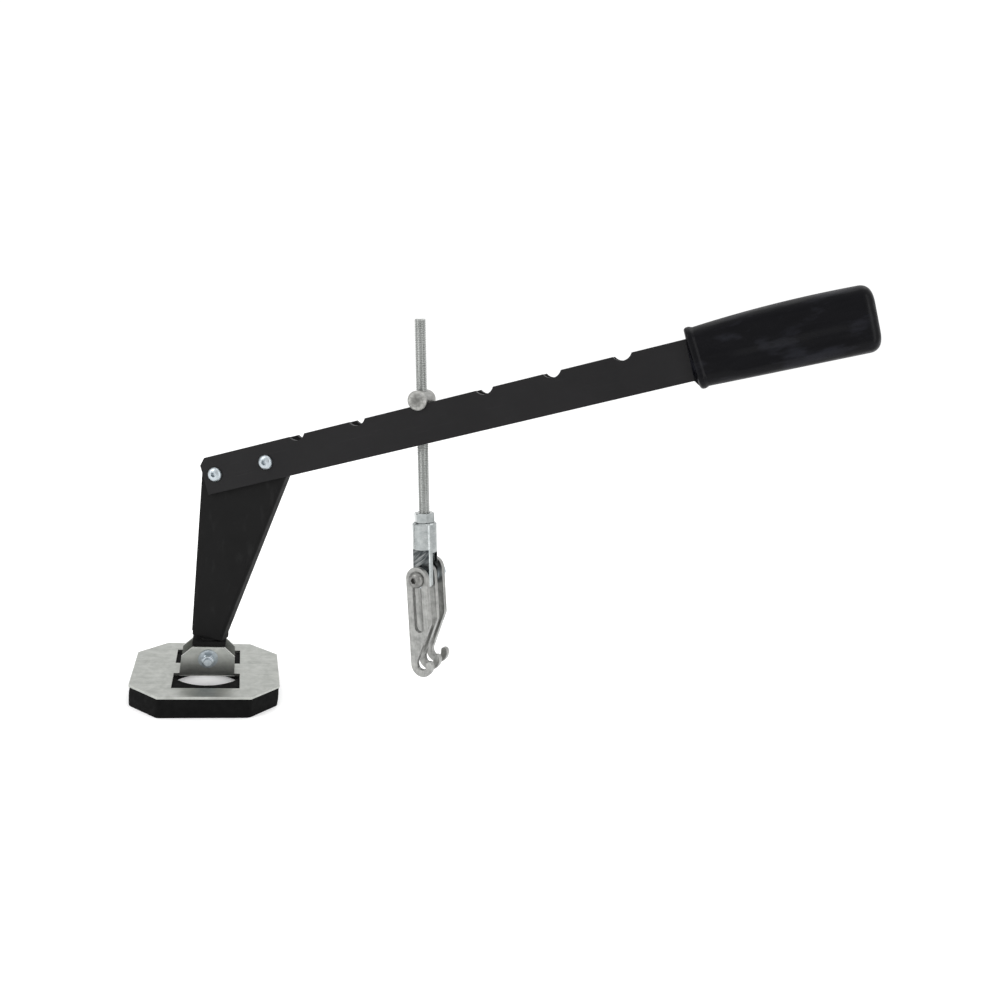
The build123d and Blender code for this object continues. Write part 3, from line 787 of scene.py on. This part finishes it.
# plated or oiled small steel: slow blotches over fine machining lines
def makeSmallSteel(look):
    material, tree, shader = startMaterial(look["name"], metallic=1.0)
    blotch = cloud(tree, steelSkin["patch"], detail=4.0)
    lines = cloud(tree, look["lines"], detail=2.0)
    colour = tint(tree, between(tree, blotch), look["dark"], look["light"])
    mixed = combine(tree, "MULTIPLY", blotch, lines)
    roughness = spread(tree, mixed, *steelSkin["glossRange"], *look["gloss"])
    normal = relief(tree, lines, steelSkin["lineDepth"])
    normal = relief(tree, cloud(tree, steelSkin["dent"], detail=2.0), steelSkin["dentDepth"], normal)
    finishMaterial(tree, shader, colour, roughness, normal)
    return material


clevisLook = {
    "stretch": 0.85,
    "dark": (0.27, 0.29, 0.29),
    "light": (0.39, 0.41, 0.41),
    "patch": 0.006,
    "gloss": (0.16, 0.26),
    "lines": (0.01, 0.01, 0.0004),
    "lineDepth": 0.000004,
    # colours of the flats are painted light: a dark reflection and a slanting highlight
    "flatPaintedDarkReflection": (0.035, 0.040, 0.042),
    "flatPaintedGlint": (0.20, 0.21, 0.21),
    "flatFrom": 0.0083,  # distance from the axis at which a face counts as a flat
    "flatBlend": 0.0001,
    "flatTop": 0.0302,  # height over the bolt where the flats end
    "topBlend": 0.0002,
    "glintStreaks": (0.0022, 0.01, 0.018),
    "glintStreakRange": (0.42, 0.66),
    "glintStreakSlant": 0.9,
}


# turned zinc whose fine rings stretch every reflection along the axis; the two milled flats
# get a painted dark reflection, crossed by slanting streaks of painted highlight
def makeClevisZinc():
    look = clevisLook
    material, tree, shader = startMaterial("turned_zinc", metallic=1.0, Anisotropic=look["stretch"])
    turn = tuple(Matrix((np.cross(boltAlong, rodUp), boltAlong, rodUp)).transposed().to_euler())
    alongRod(tree, shader)
    place = addNode(tree, "SeparateXYZ", None, Vector=patternSpace(tree, 1.0, turn, tuple(boltCentre)))
    out = addNode(tree, "Math", {"operation": "ABSOLUTE"}, _0=place.outputs["Y"]).outputs[0]
    flat = spread(tree, out, look["flatFrom"], look["flatFrom"] + look["flatBlend"])
    top = look["flatTop"]
    below = spread(tree, place.outputs["Z"], top, top + look["topBlend"], 1.0, 0.0)
    flat = combine(tree, "MULTIPLY", flat, below)
    lines = cloud(tree, look["lines"], turn, detail=2.0)
    slanted = (turn[0], turn[1] + look["glintStreakSlant"], turn[2])
    glintStreaks = cloud(tree, look["glintStreaks"], slanted, detail=3.0)
    blotch = cloud(tree, look["patch"], turn, detail=4.0)
    colour = tint(tree, between(tree, blotch), look["dark"], look["light"])
    # painted reflection on the flats: dark, with slanting streaks of painted highlight
    flatPaintedReflection = tint(tree, spread(tree, glintStreaks, *look["glintStreakRange"]), look["flatPaintedDarkReflection"], look["flatPaintedGlint"])
    colour = tint(tree, flat, colour, flatPaintedReflection)
    roughness = between(tree, lines, look["gloss"])
    finishMaterial(tree, shader, colour, roughness, relief(tree, lines, look["lineDepth"]))
    return material


finishes = {
    "lever_paint": makeLeverPaint(),
    "leg_paint": makeLegPaint(),
    "grip_vinyl": makeGripVinyl(),
    "foot_rubber": makeFootRubber(),
    "plate_zinc": makePlateZinc(),
    "hook_zinc": makeHookZinc(),
    "pin_steel": makePinSteel(),
    "rod_zinc": makeRodZinc(),
    "clevis_zinc": makeClevisZinc(),
    **{slot: makeSmallSteel(look) for slot, look in steelLooks.items()},
}
for entry in frame["record"]["subparts"]:
    slots = nodes[entry["node"]].data.materials
    slots.clear()
    slots.append(finishes[entry["material_slot"]])
rod.data.materials.append(finishes["rod_zinc"])
grip.data.materials.append(finishes["grip_vinyl"])
rubber.data.materials.append(finishes["foot_rubber"])
print("materials made:", len(finishes))


studio = {
    "floorEdge": 14.0,  # distance from the middle to each side
    "floorColour": (0.93, 0.93, 0.93),
    "floorLight": (0.945, 0.945, 0.945),
    "floorPatch": 0.8,
    "floorSpecular": 0.2,
    "floorGloss": (0.75, 0.85),
    "floorGlossPatch": 0.3,
    "floorGrain": 0.002,
    "floorGrainDepth": 0.00002,
    "floorGlow": 0.12,
    "worldColour": (1.0, 1.0, 1.0),
    "front": 0.85,  # brightness of the surroundings on the camera's side
    "back": 1.06,
    "frontToBack": (-0.5, 0.6),  # headings along Y between which one turns into the other
    "overhead": 1.2,
    "upward": (0.35, 0.95),  # headings along Z over which it grows to the overhead brightness
}


# one flat sheet on the ground
def makeFloor():
    edge = studio["floorEdge"]
    corners = [(-edge, -edge, 0), (edge, -edge, 0), (edge, edge, 0), (-edge, edge, 0)]
    mesh = bpy.data.meshes.new("floor")
    mesh.from_pydata(corners, [], [(0, 1, 2, 3)])
    floor = bpy.data.objects.new("floor", mesh)
    bpy.context.scene.collection.objects.link(floor)
    material, tree, shader = startMaterial("pale_floor", Specular_IOR_Level=studio["floorSpecular"])
    patches = cloud(tree, studio["floorPatch"], detail=2.0)
    colour = tint(tree, patches, studio["floorColour"], studio["floorLight"])
    shader.inputs["Emission Color"].default_value = (1.0, 1.0, 1.0, 1.0)
    shader.inputs["Emission Strength"].default_value = studio["floorGlow"]
    roughness = between(tree, cloud(tree, studio["floorGlossPatch"]), studio["floorGloss"])
    normal = relief(tree, cloud(tree, studio["floorGrain"]), studio["floorGrainDepth"])
    finishMaterial(tree, shader, colour, roughness, normal)
    mesh.materials.append(material)


lamps = {
    "key": {"place": (-1.0, -1.2, 1.1), "size": (0.7, 1.6), "power": 12.0},
    "fill": {"place": (1.9, -1.1, 0.9), "size": (0.6, 1.6), "power": 9.0},
    "top": {"place": (0.3, 0.6, 2.4), "size": (2.4, 2.0), "power": 18.0},
}


def makeLight():
    target = Vector((cadLow + cadHigh) / 2)
    for name, lamp in lamps.items():
        data = bpy.data.lights.new(name, "AREA")
        data.shape = "RECTANGLE"
        data.size, data.size_y = lamp["size"]
        data.energy = lamp["power"]
        light = bpy.data.objects.new(name, data)
        light.location = lamp["place"]
        light.rotation_euler = (target - light.location).to_track_quat("-Z", "Y").to_euler()
        bpy.context.scene.collection.objects.link(light)
    world = bpy.data.worlds.new("studio")
    world.use_nodes = True
    background = world.node_tree.nodes["Background"]
    background.inputs["Color"].default_value = (*studio["worldColour"], 1.0)
    tree = world.node_tree
    coords = addNode(tree, "TexCoord")
    heading = addNode(tree, "SeparateXYZ", None, Vector=coords.outputs["Generated"])
    front = studio["front"]
    strength = spread(tree, heading.outputs["Y"], *studio["frontToBack"], front, studio["back"])
    overhead = spread(tree, heading.outputs["Z"], *studio["upward"], front, studio["overhead"])
    strength = combine(tree, "MAXIMUM", strength, overhead)
    tree.links.new(strength, background.inputs["Strength"])
    bpy.context.scene.world = world


cameraShape = {
    "place": (0.48201, -0.86442, 0.45051),
    "turn": (78.713, -7.424, 12.603),  # degrees about X, Y and Z
    "lens": 31.66,
    "sensor": 36.0,
    "near": 0.05,
    "far": 50.0,
}


def makeCamera():
    data = bpy.data.cameras.new("camera")
    data.lens, data.sensor_width = cameraShape["lens"], cameraShape["sensor"]
    data.clip_start, data.clip_end = cameraShape["near"], cameraShape["far"]
    camera = bpy.data.objects.new("camera", data)
    camera.location = cameraShape["place"]
    camera.rotation_euler = [math.radians(angle) for angle in cameraShape["turn"]]
    bpy.context.scene.collection.objects.link(camera)
    bpy.context.scene.camera = camera


makeFloor()
makeLight()
makeCamera()
bpy.context.scene.view_settings.view_transform = "Standard"
print("studio made")
